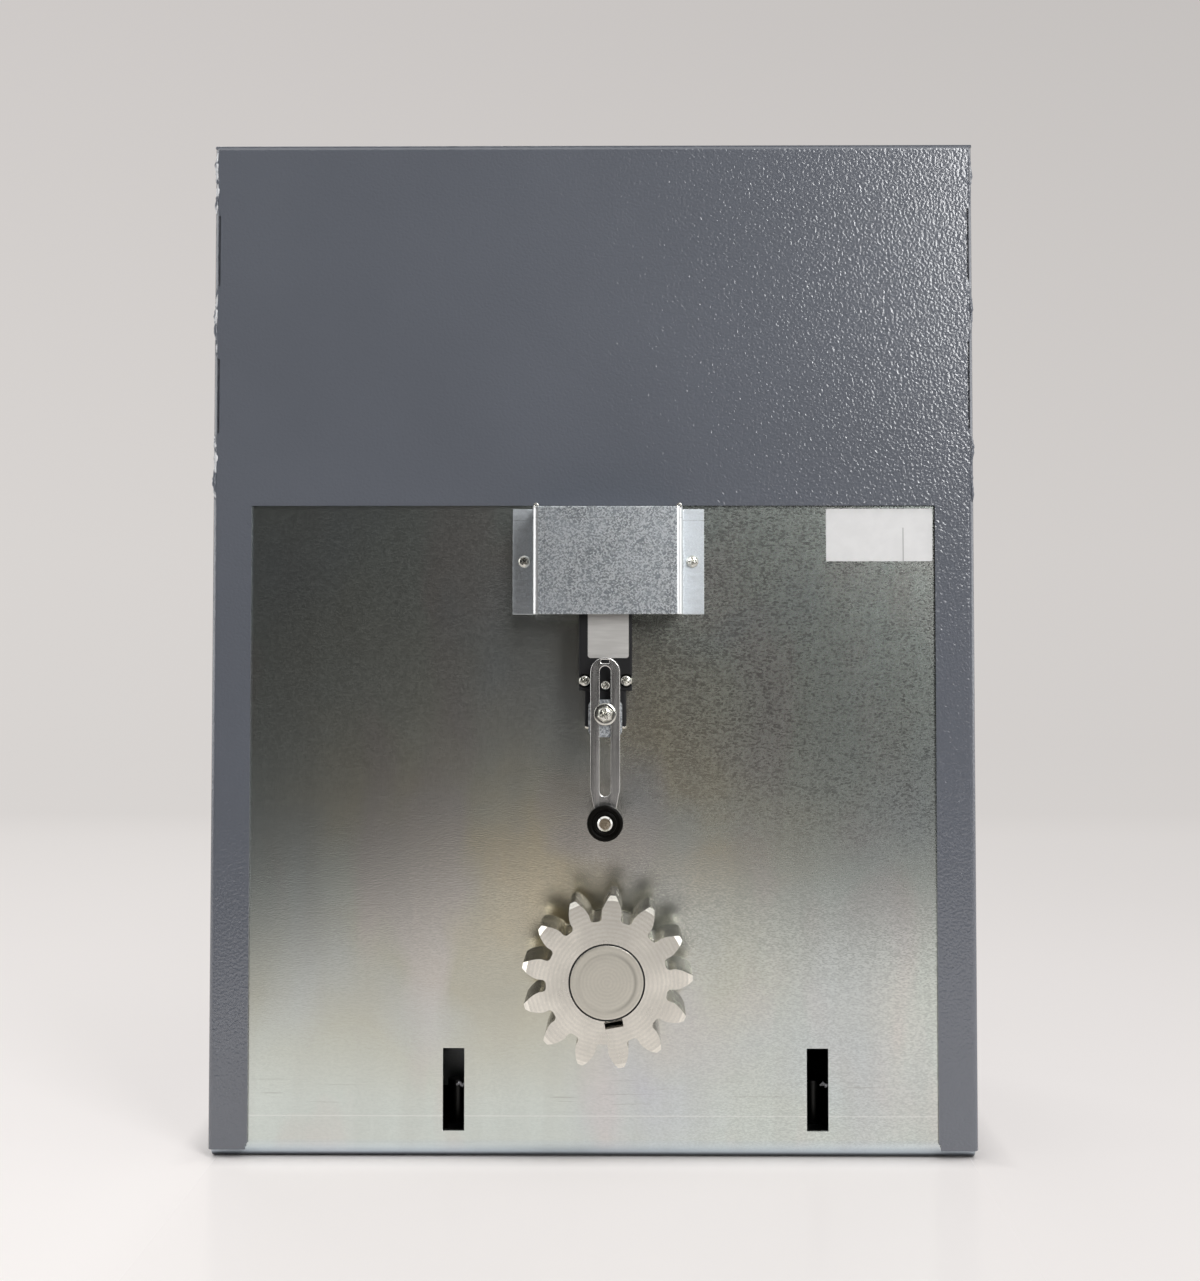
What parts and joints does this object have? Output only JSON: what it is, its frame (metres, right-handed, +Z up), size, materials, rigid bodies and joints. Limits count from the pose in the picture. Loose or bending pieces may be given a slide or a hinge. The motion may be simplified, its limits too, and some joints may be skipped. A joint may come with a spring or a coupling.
{
  "type": "sliding gate motor",
  "caption": "Rack-and-pinion sliding gate motor: steel cover on a folded chassis, toothed pinion on the output shaft, roller-lever limit switch under a sheet guard, worm gearbox inside.",
  "frame": {"origin": "middle of the four base fixing holes, on the underside of the base plate", "axes": "+Z up, -Y out of the gate side along the output shaft, +X to the right for someone at the gate"},
  "size_m": [0.438, 0.376, 0.581],
  "materials": {
    "grey_paint": "textured powder coat",
    "zinc_plate": "passivated zinc, horizontal grain",
    "zinc_sheet": "zinc-plated sheet",
    "bright_steel": "turned steel",
    "black_oxide": "blackened steel",
    "fastener_zinc": "bright zinc",
    "black_plastic": "moulded",
    "roller_plastic": "moulded",
    "rubber_black": "matte",
    "cast_alloy": "sand cast",
    "bronze": "machined",
    "steel_core": "laminated",
    "copper_coil": "varnished wire",
    "motor_paint": "satin paint",
    "control_plastic": "moulded",
    "board_green": "solder mask",
    "grip_red": "moulded"
  },
  "bodies": {
    "chassis": {"chassis_plate": "zinc_plate", "switch_guard": "zinc_sheet", "output_bearings": "bright_steel", "worm_bearings": "bright_steel", "levelling_screws": "black_oxide", "levelling_nuts": "black_oxide", "cover_screws": "fastener_zinc", "guard_screws": "fastener_zinc", "switch_screws": "fastener_zinc", "gearbox_lid_bolts": "fastener_zinc", "gearbox_foot_bolts": "fastener_zinc", "motor_flange_bolts": "fastener_zinc", "control_lid_screws": "fastener_zinc", "switch_body": "black_plastic", "switch_lid": "black_plastic", "switch_head": "black_plastic", "switch_gland": "black_plastic", "contactors": "black_plastic", "control_glands": "black_plastic", "cable_grommet": "rubber_black", "output_seal": "rubber_black", "gearbox_housing": "cast_alloy", "gearbox_lid": "cast_alloy", "motor_flange": "cast_alloy", "motor_shield": "cast_alloy", "oil_plug": "bronze", "stator_core": "steel_core", "transformer": "steel_core", "stator_windings": "copper_coil", "motor_frame": "motor_paint", "fan_cowl": "motor_paint", "terminal_box": "motor_paint", "terminal_lid": "motor_paint", "control_box": "control_plastic", "control_lid": "control_plastic", "control_board": "board_green"},
    "cover": {"cover_wrap": "grey_paint", "cover_top": "grey_paint", "hinge_leaves": "grey_paint", "hinge_pins": "bright_steel"},
    "door": {"release_door": "grey_paint"},
    "lock": {"door_lock": "fastener_zinc"},
    "lever": {"lever_shaft": "bright_steel", "lever_hub": "zinc_sheet", "lever_arm": "fastener_zinc", "lever_screw": "fastener_zinc", "roller_pin": "fastener_zinc"},
    "roller": {"roller": "roller_plastic"},
    "output": {"pinion": "bright_steel", "pinion_key": "bright_steel", "output_shaft": "bright_steel", "wheel_key": "bright_steel", "wheel_hub": "steel_core", "wheel_rim": "bronze"},
    "rotor": {"worm_shaft": "bright_steel", "rotor_core": "steel_core", "cooling_fan": "black_plastic"},
    "release": {"release_spindle": "bright_steel", "release_lever": "bright_steel", "release_grip": "grip_red"}
  },
  "joints": [
    {"name": "output_spin", "type": "hinge", "parent": "chassis", "child": "output", "pos_m": [0.009, 0, 0.11], "axis": [0, 1, 0], "continuous": true},
    {"name": "motor_spin", "type": "hinge", "parent": "chassis", "child": "rotor", "pos_m": [-0.081, -0.052, 0.11], "axis": [0, 0, 1], "continuous": true},
    {"name": "lever_swing", "type": "hinge", "parent": "chassis", "child": "lever", "pos_m": [0.0077, -0.18, 0.2533], "axis": [0, 1, 0], "range_deg": [-60, 60], "stiffness_Nm_per_rad": 0.2},
    {"name": "roller_spin", "type": "hinge", "parent": "lever", "child": "roller", "pos_m": [0.0077, -0.19, 0.1934], "axis": [0, 1, 0], "continuous": true},
    {"name": "cover_lift", "type": "slide", "parent": "chassis", "child": "cover", "axis": [0, 0, 1], "range_m": [0, 0.6]},
    {"name": "door_swing", "type": "hinge", "parent": "cover", "child": "door", "pos_m": [0.009, 0.1546, 0.262], "axis": [1, 0, 0], "range_deg": [0, 100]},
    {"name": "lock_turn", "type": "hinge", "parent": "door", "child": "lock", "pos_m": [0.009, 0.15, 0.112], "axis": [0, 1, 0], "range_deg": [0, 90]},
    {"name": "release_turn", "type": "hinge", "parent": "chassis", "child": "release", "pos_m": [0.009, 0.028, 0.11], "axis": [0, 1, 0], "range_deg": [0, 75]}
  ],
  "couplings": [
    {"joint": "motor_spin", "follows": "output_spin", "ratio": -30}
  ]
}
